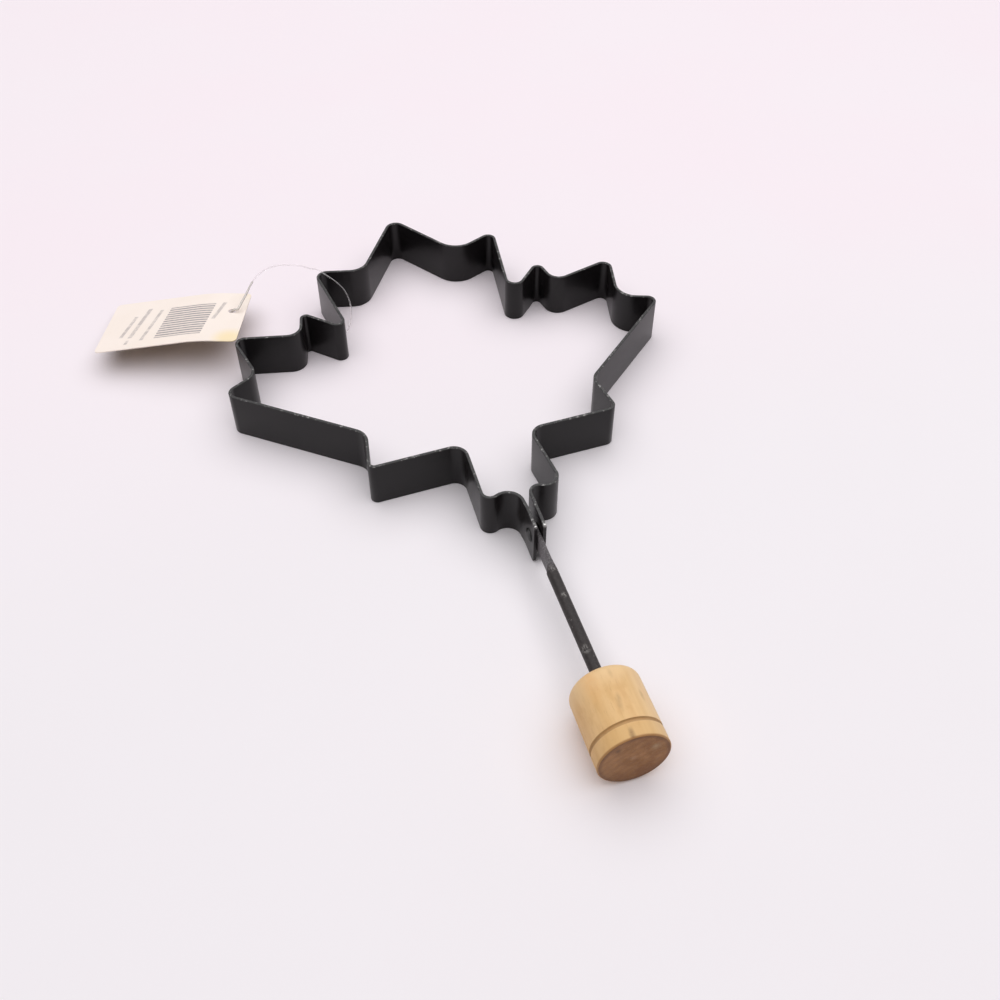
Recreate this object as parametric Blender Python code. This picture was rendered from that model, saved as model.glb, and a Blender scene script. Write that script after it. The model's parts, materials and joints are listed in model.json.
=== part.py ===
"""A maple leaf pancake ring with a folding handle.

One steel strip is bent on edge into the leaf, and its two ends run side by side as ears.
A rivet through the ears carries the flattened end of a steel rod, which swings over the
leaf, and the rod ends in a turned wooden knob. A card tag hangs on a nylon loop round
one lobe.

Metres, +Z up. The ring stands on z = 0, its tip towards +Y and its handle towards -Y.
Shapes are drawn round the rivet, then moved so that the middle of the ring and handle,
seen from above, is the origin.
"""

import math

import bmesh
import bpy
from mathutils import Matrix, Vector

# The strip
STRIP_HEIGHT = 0.01905
STRIP_THICKNESS = 0.0012
STRIP_EDGE_CHAMFER = 0.00015
BEND_STEP = math.radians(10)

# The leaf, from its stem root to its tip and from its middle to its widest point
LEAF_LENGTH = 0.1744
LEAF_HALF_WIDTH = 0.0925
LEAF_LEAN = math.radians(2.65)

# Its corners, bent by hand and so not quite alike on the two sides: across and along in
# millimetres of the drawing, which is stretched to the sizes above, then the bend radius
# at the strip's middle in metres
LEFT_CORNERS = (
    (14.8, -5.0, 0.0032),
    (12.7, 25.9, 0.0053),
    (48.9, 25.7, 0.0021),
    (45.1, 43.7, 0.0070),
    (91.6, 82.7, 0.0033),
    (77.2, 90.3, 0.0060),
    (82.0, 114.5, 0.0031),
    (55.5, 107.7, 0.0056),
    (52.0, 121.5, 0.0019),
    (35.9, 104.6, 0.0026),
    (40.5, 147.3, 0.0037),
    (20.4, 141.6, 0.0079),
)
RIGHT_CORNERS = (
    (14.9, -6.3, 0.0047),
    (13.1, 25.7, 0.0049),
    (48.7, 25.6, 0.0027),
    (46.6, 44.2, 0.0061),
    (92.5, 82.3, 0.0029),
    (76.5, 88.6, 0.0088),
    (83.0, 113.8, 0.0034),
    (55.0, 107.3, 0.0056),
    (52.7, 122.3, 0.0024),
    (34.0, 103.8, 0.0038),
    (41.8, 150.2, 0.0029),
    (22.0, 142.2, 0.0102),
)
TIP_CORNER = (1.6, 174.4, 0.0040)

# The ears, measured from the rivet
EAR_GAP = 0.0021
EAR_ROOT_DISTANCE = 0.0162
EAR_KINK_DISTANCE = 0.0045
EAR_KINK_RADIUS = 0.0100
LEFT_EAR_ROOT = (-0.00275, 0.0176, 0.0058)
RIGHT_EAR_ROOT = (0.00183, 0.0156, 0.0033)
EAR_OVERHANG = 0.0053
EAR_LOW_CORNER_RADIUS = 0.0018
EAR_TOP_CORNER_RADIUS = 0.0008
RIVET_HEIGHT = 0.0095

# The rivet
RIVET_SHANK_RADIUS = 0.0015
RIVET_HEAD_RADIUS = 0.0026
RIVET_HEAD_HEIGHT = 0.0009
RIVET_HOLE_GAP = 0.0002
RIVET_HEAD_GAP = 0.0002

# The handle rod, measured from the rivet
ROD_RADIUS = 0.0021
BLADE_THICKNESS = 0.0015
BLADE_HEIGHT = 0.0080
BLADE_CORNER_RADIUS = 0.0004
BLADE_LENGTH = 0.0155
SHOULDER_LENGTH = 0.0040
HANDLE_REACH = 0.0680
TANG_LENGTH = 0.0170
TANG_CHAMFER = 0.0005

# The knob
KNOB_LENGTH = 0.0282
KNOB_RADIUS = 0.0120
KNOB_NECK_RADIUS = 0.0119
KNOB_NECK_ROUND = 0.0032
KNOB_END_ROUND = 0.0007
GROOVE_FROM_END = 0.0061
GROOVE_WIDTH = 0.0014
GROOVE_DEPTH = 0.0008
KNOB_BORE_GAP = 0.00015
KNOB_BORE_SPARE = 0.0008
KNOB_SIDES = 48

# The tag card, its near left corner measured from the rivet: it climbs to the right, bends
# and runs on level, and its far edge hangs lower than its near one
TAG_LENGTH = 0.0594
TAG_WIDTH = 0.0399
TAG_THICKNESS = 0.0004
TAG_CORNER_RADIUS = 0.0020
TAG_CORNER = (-0.1439, 0.1451)
TAG_TURN = math.radians(-16.6)
TAG_CORNER_HEIGHT = 0.0099
TAG_CLIMB = 0.155
TAG_END_CLIMB = -0.030
TAG_BEND = 0.0429
TAG_BEND_HALF = 0.0062
TAG_LEAN = -0.165
TAG_HOLE_ALONG = 0.0537
TAG_HOLE_ACROSS = 0.0246
TAG_HOLE_RADIUS = 0.0017

# The nylon lock, the stout end of the loop, from its foot under the hole to its tip
LOCK_FOOT_RADIUS = 0.00060
LOCK_TIP_RADIUS = 0.00040
LOCK_ROUTE = (
    (-0.0867, 0.1544, 0.0105),
    (-0.0861, 0.1539, 0.0114),
    (-0.0854, 0.1533, 0.0125),
    (-0.0844, 0.1525, 0.0136),
    (-0.0829, 0.1518, 0.0143),
    (-0.0807, 0.1546, 0.0155),
    (-0.0782, 0.1579, 0.0166),
    (-0.0762, 0.1607, 0.0178),
    (-0.0744, 0.1625, 0.0190),
)
LOCK_POINTS = 28

# The nylon loop: its route from the rivet, between the lock's two ends
LOOP_RADIUS = 0.000275
LOOP_END_GAP = 0.0003
LOOP_ROUTE = (
    (-0.0711, 0.1643, 0.0210),
    (-0.0671, 0.1645, 0.0228),
    (-0.0629, 0.1636, 0.0240),
    (-0.0582, 0.1623, 0.0243),
    (-0.0536, 0.1612, 0.0236),
    (-0.0496, 0.1608, 0.0217),
    (-0.0462, 0.1610, 0.0200),
    (-0.0439, 0.1586, 0.0190),
    (-0.0409, 0.1554, 0.0176),
    (-0.0379, 0.1533, 0.0146),
    (-0.0363, 0.1514, 0.0112),
    (-0.0357, 0.1496, 0.0079),
    (-0.0359, 0.1481, 0.0050),
    (-0.0365, 0.1465, 0.0025),
    (-0.0376, 0.1447, 0.0008),
    (-0.0398, 0.1412, 0.0003),
    (-0.0420, 0.1402, 0.0003),
    (-0.0449, 0.1404, 0.0003),
    (-0.0490, 0.1408, 0.0003),
    (-0.0560, 0.1412, 0.0003),
    (-0.0650, 0.1413, 0.0003),
    (-0.0740, 0.1418, 0.0004),
    (-0.0810, 0.1436, 0.0008),
    (-0.0855, 0.1465, 0.0022),
    (-0.0878, 0.1505, 0.0048),
    (-0.0880, 0.1540, 0.0080),
)
LOOP_POINTS = 84

# Where the strip's lower edge is eased for the loop, measured along the wall from its valley
RELIEF_CORNER = 9
RELIEF_START = 0.0147
RELIEF_LENGTH = 0.0140
RELIEF_HEIGHT = 0.0009
RELIEF_STEPS = 12


def clear_scene():
    for thing in list(bpy.data.objects):
        bpy.data.objects.remove(thing, do_unlink=True)


def material(name, colour, roughness, metallic=0.0, alpha=1.0):
    made = bpy.data.materials.new(name)
    made.use_nodes = True
    shader = made.node_tree.nodes["Principled BSDF"]
    shader.inputs["Base Color"].default_value = (*colour, 1.0)
    shader.inputs["Roughness"].default_value = roughness
    shader.inputs["Metallic"].default_value = metallic
    shader.inputs["Alpha"].default_value = alpha
    return made


def named_object(name, shape, finish, smooth_angle=math.radians(40)):
    """A scene object made from a bmesh, which is freed."""
    bmesh.ops.recalc_face_normals(shape, faces=shape.faces)
    mesh = bpy.data.meshes.new(name)
    shape.to_mesh(mesh)
    shape.free()
    mesh.shade_smooth()
    mesh.set_sharp_from_angle(angle=smooth_angle)
    mesh.materials.append(finish)
    made = bpy.data.objects.new(name, mesh)
    bpy.context.scene.collection.objects.link(made)
    return made


def cut(target, cutter):
    """Takes the cutter's shape out of the target, and keeps the cutter as a hidden guide."""
    cutter.hide_render = True
    cutter.display_type = "WIRE"
    hole = target.modifiers.new(cutter.name, "BOOLEAN")
    hole.operation = "DIFFERENCE"
    hole.solver = "EXACT"
    hole.object = cutter


def loft(sections):
    """A closed body through equal rings of points, capped at both ends."""
    shape = bmesh.new()
    rings = [[shape.verts.new(point) for point in section] for section in sections]
    count = len(rings[0])
    for ring, following in zip(rings, rings[1:]):
        for i in range(count):
            j = (i + 1) % count
            shape.faces.new((ring[i], ring[j], following[j], following[i]))
    shape.faces.new(rings[0])
    shape.faces.new(rings[-1])
    return shape


def turned(profile, sides):
    """A body turned about +Y from (distance, radius) pairs that start and end on the axis."""
    shape = bmesh.new()
    first = shape.verts.new((0.0, profile[0][0], 0.0))
    last = shape.verts.new((0.0, profile[-1][0], 0.0))
    rings = []
    for distance, radius in profile[1:-1]:
        ring = []
        for i in range(sides):
            angle = math.tau * i / sides
            ring.append(shape.verts.new((radius * math.cos(angle), distance, radius * math.sin(angle))))
        rings.append(ring)
    for i in range(sides):
        j = (i + 1) % sides
        shape.faces.new((first, rings[0][j], rings[0][i]))
        shape.faces.new((last, rings[-1][i], rings[-1][j]))
        for ring, following in zip(rings, rings[1:]):
            shape.faces.new((ring[i], ring[j], following[j], following[i]))
    return shape


def quarter(steps):
    """Sine and cosine pairs from 0 to 90 degrees, both ends included."""
    angles = [math.radians(90) * i / steps for i in range(steps + 1)]
    return [(math.sin(angle), math.cos(angle)) for angle in angles]


def leaf_to_stem(across, along):
    """A point of the leaf's drawing in the frame of the rivet and handle."""
    widest = max(corner[0] for corner in LEFT_CORNERS + RIGHT_CORNERS)
    across *= LEAF_HALF_WIDTH / widest
    along *= LEAF_LENGTH / TIP_CORNER[1]
    return Matrix.Rotation(LEAF_LEAN, 2) @ Vector((across, EAR_ROOT_DISTANCE + along))


def side_corners(side, root, corners):
    """One side of the strip from its ear's end to the leaf's tip: points and bend radii."""
    ear = side * (EAR_GAP + STRIP_THICKNESS) / 2
    half = [
        (Vector((ear, -EAR_OVERHANG)), 0.0),
        (Vector((ear, EAR_KINK_DISTANCE)), EAR_KINK_RADIUS),
        (Vector((root[0], root[1])), root[2]),
    ]
    for across, along, radius in corners:
        half.append((leaf_to_stem(side * across, along), radius))
    return half


def strip_corners():
    """The strip's corners from one ear's end round to the other's: point and bend radius."""
    left = side_corners(-1, LEFT_EAR_ROOT, LEFT_CORNERS)
    right = side_corners(1, RIGHT_EAR_ROOT, RIGHT_CORNERS)
    tip = (leaf_to_stem(TIP_CORNER[0], TIP_CORNER[1]), TIP_CORNER[2])
    return left + [tip] + right[::-1]


def bend(before, corner, after, radius):
    """Points and headings round one bend, tangent to the runs before and after it."""
    arriving = (corner - before).normalized()
    leaving = (after - corner).normalized()
    turn = arriving.angle_signed(leaving) * -1
    setback = radius * math.tan(abs(turn) / 2)
    side = math.copysign(1.0, turn)
    start = corner - arriving * setback
    centre = start + Vector((-arriving.y, arriving.x)) * side * radius
    heading = math.atan2(arriving.y, arriving.x)
    steps = max(2, math.ceil(abs(turn) / BEND_STEP))
    stations = []
    for i in range(steps + 1):
        angle = heading + turn * i / steps
        outward = Vector((math.sin(angle), -math.cos(angle))) * side
        stations.append((centre + outward * radius, angle))
    return stations


def ear_stations(end, heading, sign):
    """Stations on an ear's rounded end corners, with how much each corner takes away."""
    reach = max(EAR_LOW_CORNER_RADIUS, EAR_TOP_CORNER_RADIUS)
    distances = {0.0, reach}
    for radius in (EAR_LOW_CORNER_RADIUS, EAR_TOP_CORNER_RADIUS):
        distances.update(radius * (1 - cosine) for _, cosine in quarter(5))
    stations = []
    forward = Vector((math.cos(heading), math.sin(heading))) * sign
    for distance in sorted(distances):
        low = corner_loss(EAR_LOW_CORNER_RADIUS, distance)
        top = corner_loss(EAR_TOP_CORNER_RADIUS, distance)
        stations.append((end + forward * distance, heading, low, top))
    return stations


def corner_loss(radius, distance):
    """How far a rounded corner draws the edge in, this far from the end."""
    if distance >= radius:
        return 0.0
    return radius - math.sqrt(radius ** 2 - (radius - distance) ** 2)


def relief_stations(valley, following):
    """Stations over the shallow arch in the lower edge that lets the loop pass."""
    run = (following - valley).normalized()
    heading = math.atan2(run.y, run.x)
    stations = []
    for i in range(RELIEF_STEPS + 1):
        share = i / RELIEF_STEPS
        rise = RELIEF_HEIGHT * math.sin(share * math.pi) ** 2
        stations.append((valley + run * (RELIEF_START + share * RELIEF_LENGTH), heading, rise, 0.0))
    return stations


def strip_stations():
    """The whole strip: point, heading, rise of the lower edge and drop of the upper edge."""
    corners = strip_corners()
    points = [point for point, _ in corners]
    eased = LEFT_CORNERS[RELIEF_CORNER]
    valley = leaf_to_stem(-eased[0], eased[1])
    up = math.radians(90)
    stations = ear_stations(points[0], up, 1.0)
    for i in range(1, len(points) - 1):
        for point, heading in bend(points[i - 1], points[i], points[i + 1], corners[i][1]):
            stations.append((point, heading, 0.0, 0.0))
        if points[i] == valley:
            stations.extend(relief_stations(points[i], points[i + 1]))
    stations.extend(reversed(ear_stations(points[-1], -up, -1.0)))
    return stations


def strip_section(station):
    """The strip's chamfered section at one station, as a ring of eight points."""
    point, heading, rise, drop = station
    side = Vector((-math.sin(heading), math.cos(heading)))
    half = STRIP_THICKNESS / 2
    inset = half - STRIP_EDGE_CHAMFER
    bottom = rise
    top = STRIP_HEIGHT - drop
    ring = (
        (-half, bottom + STRIP_EDGE_CHAMFER),
        (-half, top - STRIP_EDGE_CHAMFER),
        (-inset, top),
        (inset, top),
        (half, top - STRIP_EDGE_CHAMFER),
        (half, bottom + STRIP_EDGE_CHAMFER),
        (inset, bottom),
        (-inset, bottom),
    )
    return [(point.x + side.x * offset, point.y + side.y * offset, height) for offset, height in ring]


def rest_elevation():
    """The handle's upward angle when the knob's widest rim touches the surface."""
    rim = knob_profile_outside()
    lifts = []
    for distance, radius in rim:
        reach = math.hypot(HANDLE_REACH + distance, radius)
        lifts.append(math.atan2(radius, HANDLE_REACH + distance) - math.asin(RIVET_HEIGHT / reach))
    return max(lifts)


def knob_profile_outside():
    """The knob's outer profile from the rod's side to its free end: distance and radius."""
    profile = []
    for sine, cosine in quarter(6):
        profile.append((KNOB_NECK_ROUND * (1 - cosine), KNOB_NECK_RADIUS - KNOB_NECK_ROUND * (1 - sine)))
    groove_middle = KNOB_LENGTH - GROOVE_FROM_END
    for i in range(7):
        place = i / 3 - 1
        depth = GROOVE_DEPTH * math.sqrt(1 - place ** 2)
        profile.append((groove_middle + place * GROOVE_WIDTH / 2, KNOB_RADIUS - depth))
    for sine, cosine in quarter(4):
        profile.append((KNOB_LENGTH - KNOB_END_ROUND * (1 - sine), KNOB_RADIUS - KNOB_END_ROUND * (1 - cosine)))
    return profile


def footprint_centre(stations):
    """The middle of the ring and resting handle, seen from above."""
    half = STRIP_THICKNESS / 2
    across = []
    along = []
    for point, heading, _, _ in stations:
        across.append(point.x - math.sin(heading) * half)
        across.append(point.x + math.sin(heading) * half)
        along.append(point.y + math.cos(heading) * half)
    lift = rest_elevation()
    for distance, radius in knob_profile_outside():
        reach = HANDLE_REACH + distance
        along.append(-reach * math.cos(lift) - radius * math.sin(lift))
    return Vector(((min(across) + max(across)) / 2, (min(along) + max(along)) / 2, 0.0))


def make_leaf_ring(stations, origin, finish):
    ring = named_object("leaf_ring", loft([strip_section(station) for station in stations]), finish)
    ring.location = origin
    reach = EAR_GAP / 2 + 2 * STRIP_THICKNESS
    drill = turned(
        [(-reach, 0.0), (-reach, rivet_hole_radius()), (reach, rivet_hole_radius()), (reach, 0.0)], 32
    )
    cutter = named_object("ear_drill", drill, finish)
    cutter.rotation_euler = (0.0, 0.0, math.radians(90))
    cutter.location = origin + Vector((0.0, 0.0, RIVET_HEIGHT))
    cut(ring, cutter)
    return ring


def rivet_hole_radius():
    return RIVET_SHANK_RADIUS + RIVET_HOLE_GAP


def make_rivet(origin, finish):
    under_head = EAR_GAP / 2 + STRIP_THICKNESS + RIVET_HEAD_GAP
    dome = [
        (under_head + RIVET_HEAD_HEIGHT * cosine, RIVET_HEAD_RADIUS * sine) for sine, cosine in quarter(6)
    ]
    half = dome + [(under_head, RIVET_SHANK_RADIUS)]
    profile = half + [(-distance, radius) for distance, radius in reversed(half)]
    rivet = named_object("rivet", turned(profile, 32), finish)
    rivet.rotation_euler = (0.0, 0.0, math.radians(90))
    rivet.location = origin + Vector((0.0, 0.0, RIVET_HEIGHT))
    return rivet


def rounded_section(distance, width, height, radius):
    """A rounded rectangle square to the rod, this far from the rivet."""
    radius = min(radius, width / 2, height / 2)
    ring = []
    for quadrant in range(4):
        across = (width / 2 - radius) * (1, -1, -1, 1)[quadrant]
        above = (height / 2 - radius) * (1, 1, -1, -1)[quadrant]
        for i in range(6):
            angle = math.radians(90) * (quadrant + i / 6 + 1 / 12)
            ring.append((across + radius * math.cos(angle), -distance, above + radius * math.sin(angle)))
    return ring


def make_handle_rod(hinge, finish):
    half = BLADE_HEIGHT / 2
    sections = []
    for sine, cosine in quarter(7)[1:]:
        sections.append(rounded_section(-half * cosine, BLADE_THICKNESS, 2 * half * sine, BLADE_CORNER_RADIUS))
    for i in range(9):
        share = i / 8
        eased = share * share * (3 - 2 * share)
        width = BLADE_THICKNESS + (2 * ROD_RADIUS - BLADE_THICKNESS) * eased
        height = BLADE_HEIGHT + (2 * ROD_RADIUS - BLADE_HEIGHT) * eased
        radius = BLADE_CORNER_RADIUS + (ROD_RADIUS - BLADE_CORNER_RADIUS) * eased
        sections.append(rounded_section(BLADE_LENGTH + SHOULDER_LENGTH * share, width, height, radius))
    end = HANDLE_REACH + TANG_LENGTH
    sections.append(rounded_section(end - TANG_CHAMFER, 2 * ROD_RADIUS, 2 * ROD_RADIUS, ROD_RADIUS))
    tip_radius = ROD_RADIUS - TANG_CHAMFER
    sections.append(rounded_section(end, 2 * tip_radius, 2 * tip_radius, tip_radius))
    rod = named_object("handle_rod", loft(sections), finish)
    rod.parent = hinge
    drill = turned(
        [
            (-BLADE_THICKNESS, 0.0),
            (-BLADE_THICKNESS, rivet_hole_radius()),
            (BLADE_THICKNESS, rivet_hole_radius()),
            (BLADE_THICKNESS, 0.0),
        ],
        32,
    )
    cutter = named_object("blade_drill", drill, finish)
    cutter.rotation_euler = (0.0, 0.0, math.radians(90))
    cutter.parent = hinge
    cut(rod, cutter)
    return rod


def make_knob(hinge, finish):
    bore_radius = ROD_RADIUS + KNOB_BORE_GAP
    bore_depth = TANG_LENGTH + KNOB_BORE_SPARE
    inside = [(bore_depth, 0.0), (bore_depth, bore_radius), (0.0, bore_radius)]
    profile = inside + knob_profile_outside() + [(KNOB_LENGTH, 0.0)]
    outward = [(-distance, radius) for distance, radius in profile]
    knob = named_object("knob", turned(outward, KNOB_SIDES), finish)
    knob.parent = hinge
    knob.location = (0.0, -HANDLE_REACH, 0.0)
    return knob


def card_height(along, across):
    """The card's lower face above the surface."""
    climb = TAG_CLIMB * along
    bent = along - TAG_BEND + TAG_BEND_HALF
    if bent > 2 * TAG_BEND_HALF:
        climb -= (TAG_CLIMB - TAG_END_CLIMB) * (along - TAG_BEND)
    elif bent > 0:
        climb -= (TAG_CLIMB - TAG_END_CLIMB) * bent ** 2 / (4 * TAG_BEND_HALF)
    return TAG_CORNER_HEIGHT + climb + TAG_LEAN * across


def card_point(along, across, lift):
    """A point of the card in the rivet's frame, lifted square to the curled card."""
    step = TAG_THICKNESS
    height = card_height(along, across)
    along_slope = (card_height(along + step, across) - card_height(along - step, across)) / (2 * step)
    normal = Vector((-along_slope, -TAG_LEAN, 1.0)).normalized() * lift
    flat = Matrix.Rotation(TAG_TURN, 2) @ Vector((along + normal.x, across + normal.y))
    return Vector((TAG_CORNER[0] + flat.x, TAG_CORNER[1] + flat.y, height + normal.z))


def make_tag_card(origin, finish):
    inner_steps = 18
    distances = [TAG_CORNER_RADIUS * (1 - cosine) for _, cosine in quarter(4)]
    inner = TAG_LENGTH - 2 * TAG_CORNER_RADIUS
    distances += [TAG_CORNER_RADIUS + inner * i / inner_steps for i in range(1, inner_steps)]
    distances += [TAG_LENGTH - TAG_CORNER_RADIUS * (1 - cosine) for _, cosine in reversed(quarter(4))]
    sections = []
    for along in distances:
        inset = corner_loss(TAG_CORNER_RADIUS, min(along, TAG_LENGTH - along))
        near = inset
        far = TAG_WIDTH - inset
        sections.append(
            [
                card_point(along, near, 0.0),
                card_point(along, far, 0.0),
                card_point(along, far, TAG_THICKNESS),
                card_point(along, near, TAG_THICKNESS),
            ]
        )
    card = named_object("tag_card", loft(sections), finish, math.radians(30))
    card.location = origin
    reach = 4 * TAG_THICKNESS
    punch = turned([(-reach, 0.0), (-reach, TAG_HOLE_RADIUS), (reach, TAG_HOLE_RADIUS), (reach, 0.0)], 24)
    cutter = named_object("card_punch", punch, finish)
    cutter.rotation_euler = (math.radians(90), 0.0, 0.0)
    cutter.location = origin + tag_hole()
    cut(card, cutter)
    return card


def tag_hole():
    return card_point(TAG_HOLE_ALONG, TAG_HOLE_ACROSS, TAG_THICKNESS / 2)


def make_tag_lock(origin, finish):
    path = even_path([Vector(point) for point in LOCK_ROUTE], LOCK_POINTS)
    radii = []
    for i in range(LOCK_POINTS):
        radii.append(LOCK_FOOT_RADIUS + (LOCK_TIP_RADIUS - LOCK_FOOT_RADIUS) * i / (LOCK_POINTS - 1))
    return strand("tag_lock", path, radii, origin, finish)


def loop_knots():
    """The loop's route, which starts and ends just clear of the lock's two ends."""
    lock = [Vector(point) for point in LOCK_ROUTE]
    out = lock[-1] + (lock[-1] - lock[-2]).normalized() * LOOP_END_GAP
    back = lock[0] + (lock[0] - lock[1]).normalized() * LOOP_END_GAP
    return [out] + [Vector(point) for point in LOOP_ROUTE] + [back]


def smooth_point(knots, i, share):
    """A point on the curve between knots i and i + 1, which passes through every knot."""
    before = knots[max(i - 1, 0)]
    start = knots[i]
    end = knots[i + 1]
    after = knots[min(i + 2, len(knots) - 1)]
    leaving = (end - before) / 2
    arriving = (after - start) / 2
    cube = share ** 3
    square = share ** 2
    return (
        start * (2 * cube - 3 * square + 1)
        + leaving * (cube - 2 * square + share)
        + end * (3 * square - 2 * cube)
        + arriving * (cube - square)
    )


def even_path(knots, count):
    """Evenly spaced points along the smooth curve through the knots."""
    fine = [knots[0]]
    for i in range(len(knots) - 1):
        fine += [smooth_point(knots, i, step / 12) for step in range(1, 13)]
    lengths = [0.0]
    for start, end in zip(fine, fine[1:]):
        lengths.append(lengths[-1] + (end - start).length)
    path = []
    piece = 0
    for i in range(count):
        target = lengths[-1] * i / (count - 1)
        while piece < len(fine) - 2 and lengths[piece + 1] < target:
            piece += 1
        share = (target - lengths[piece]) / (lengths[piece + 1] - lengths[piece])
        path.append(fine[piece].lerp(fine[piece + 1], share))
    return path


def strand(name, path, radii, origin, finish):
    """A round strand along the path, with a radius at every point."""
    line = bpy.data.curves.new(name, "CURVE")
    line.dimensions = "3D"
    line.bevel_depth = 1.0
    line.bevel_resolution = 2
    line.use_fill_caps = True
    run = line.splines.new("POLY")
    run.points.add(len(path) - 1)
    for place, point, radius in zip(run.points, path, radii):
        place.co = (*point, 1.0)
        place.radius = radius
    line.materials.append(finish)
    made = bpy.data.objects.new(name, line)
    bpy.context.scene.collection.objects.link(made)
    made.location = origin
    return made


def make_tag_loop(origin, finish):
    path = even_path(loop_knots(), LOOP_POINTS)
    return strand("tag_loop", path, [LOOP_RADIUS] * LOOP_POINTS, origin, finish)


def make_hinge(origin):
    """The empty on the rivet's axis that carries the handle at its resting angle."""
    hinge = bpy.data.objects.new("handle_hinge", None)
    bpy.context.scene.collection.objects.link(hinge)
    hinge.location = origin + Vector((0.0, 0.0, RIVET_HEIGHT))
    hinge.rotation_euler = (-rest_elevation(), 0.0, 0.0)
    return hinge


def main():
    clear_scene()
    coated_steel = material("coated_steel", (0.022, 0.022, 0.023), 0.38)
    rivet_steel = material("rivet_steel", (0.030, 0.030, 0.031), 0.42, 0.3)
    rod_steel = material("rod_steel", (0.028, 0.027, 0.028), 0.45)
    turned_wood = material("turned_wood", (0.70, 0.47, 0.24), 0.55)
    card = material("cream_card", (0.94, 0.84, 0.74), 0.80)
    lock_nylon = material("lock_nylon", (0.80, 0.80, 0.78), 0.35, 0.0, 0.6)
    loop_nylon = material("loop_nylon", (0.86, 0.86, 0.84), 0.30, 0.0, 0.5)

    stations = strip_stations()
    origin = -footprint_centre(stations)
    make_leaf_ring(stations, origin, coated_steel)
    make_rivet(origin, rivet_steel)
    hinge = make_hinge(origin)
    make_handle_rod(hinge, rod_steel)
    make_knob(hinge, turned_wood)
    make_tag_card(origin, card)
    make_tag_lock(origin, lock_nylon)
    make_tag_loop(origin, loop_nylon)


main()
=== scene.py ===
"""A maple leaf pancake ring with a folding handle, dressed for a plain studio picture.

Metres, +Z up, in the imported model's frame. Shapes are drawn from the rivet, as the ring's
own plan is, with the leaf's tip towards +Y and the handle towards -Y.
"""

import json
import math

import bmesh
import bpy
from mathutils import Matrix, Vector


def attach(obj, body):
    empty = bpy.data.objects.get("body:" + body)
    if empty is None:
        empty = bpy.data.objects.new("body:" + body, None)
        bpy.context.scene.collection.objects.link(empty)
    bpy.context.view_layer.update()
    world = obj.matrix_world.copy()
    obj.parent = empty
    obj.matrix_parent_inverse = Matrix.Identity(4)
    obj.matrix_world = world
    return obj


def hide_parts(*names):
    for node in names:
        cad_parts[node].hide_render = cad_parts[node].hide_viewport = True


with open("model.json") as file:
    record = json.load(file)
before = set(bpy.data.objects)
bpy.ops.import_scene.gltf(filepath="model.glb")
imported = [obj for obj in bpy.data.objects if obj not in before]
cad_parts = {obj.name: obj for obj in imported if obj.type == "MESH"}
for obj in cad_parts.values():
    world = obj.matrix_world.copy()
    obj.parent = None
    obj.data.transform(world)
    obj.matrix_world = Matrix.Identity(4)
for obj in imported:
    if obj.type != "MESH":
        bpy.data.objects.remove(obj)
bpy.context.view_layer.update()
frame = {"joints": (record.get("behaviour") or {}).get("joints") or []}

HINGE = Vector(frame["joints"][0]["pos_m"])
STEM = Vector((HINGE.x, HINGE.y, 0.0))

# The camera, from the rivet's foot, with its lens and sensor in millimetres
VIEW_HEADING = math.radians(-16.80)
VIEW_PITCH = math.radians(47.494)
CAMERA_PLACE = (-0.08954, -0.25333, 0.31989)
CAMERA_LENS = 41.60
CAMERA_SENSOR = 36.0
CAMERA_NEAREST = 0.01

# The softbox, from the rivet's foot across the view, along it and up, the room and the floor
LAMP_PLACE = (0.10, 0.35, 1.60)
LAMP_ACROSS = 3.80
LAMP_POWER = 52.0
ROOM_LIGHT = 0.14
ROOM_TONE = 0.80
FLOOR_REACH = 3.0
FLOOR_DROP = 0.00002

RIGHT_ANGLE = math.radians(90)

# The strip and the leaf, as the solids have them
STRIP_HEIGHT = 0.01905
STRIP_THICKNESS = 0.0012
STRIP_EDGE_RADIUS = 0.00028
STRIP_EDGE_STEPS = 4
BEND_STEP = math.radians(5)

# The leaf, from its stem root to its tip and from its middle to its widest point
LEAF_LENGTH = 0.1744
LEAF_HALF_WIDTH = 0.0925

# Its corners, bent by hand and so not quite alike on the two sides: across and along in
# millimetres of the drawing, which is stretched to the sizes above, then the bend radius
# at the strip's middle in metres
LEFT_CORNERS = (
    (14.8, -5.0, 0.0032),
    (12.7, 25.9, 0.0053),
    (48.9, 25.7, 0.0021),
    (45.1, 43.7, 0.0070),
    (91.6, 82.7, 0.0033),
    (77.2, 90.3, 0.0060),
    (82.0, 114.5, 0.0031),
    (55.5, 107.7, 0.0056),
    (52.0, 121.5, 0.0019),
    (35.9, 104.6, 0.0026),
    (40.5, 147.3, 0.0037),
    (20.4, 141.6, 0.0079),
)
RIGHT_CORNERS = (
    (14.9, -6.3, 0.0047),
    (13.1, 25.7, 0.0049),
    (48.7, 25.6, 0.0027),
    (46.6, 44.2, 0.0061),
    (92.5, 82.3, 0.0029),
    (76.5, 88.6, 0.0088),
    (83.0, 113.8, 0.0034),
    (55.0, 107.3, 0.0056),
    (52.7, 122.3, 0.0024),
    (34.0, 103.8, 0.0038),
    (41.8, 150.2, 0.0029),
    (22.0, 142.2, 0.0102),
)
TIP_CORNER = (1.6, 174.4, 0.0040)
LEAF_LEAN = math.radians(2.65)

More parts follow.
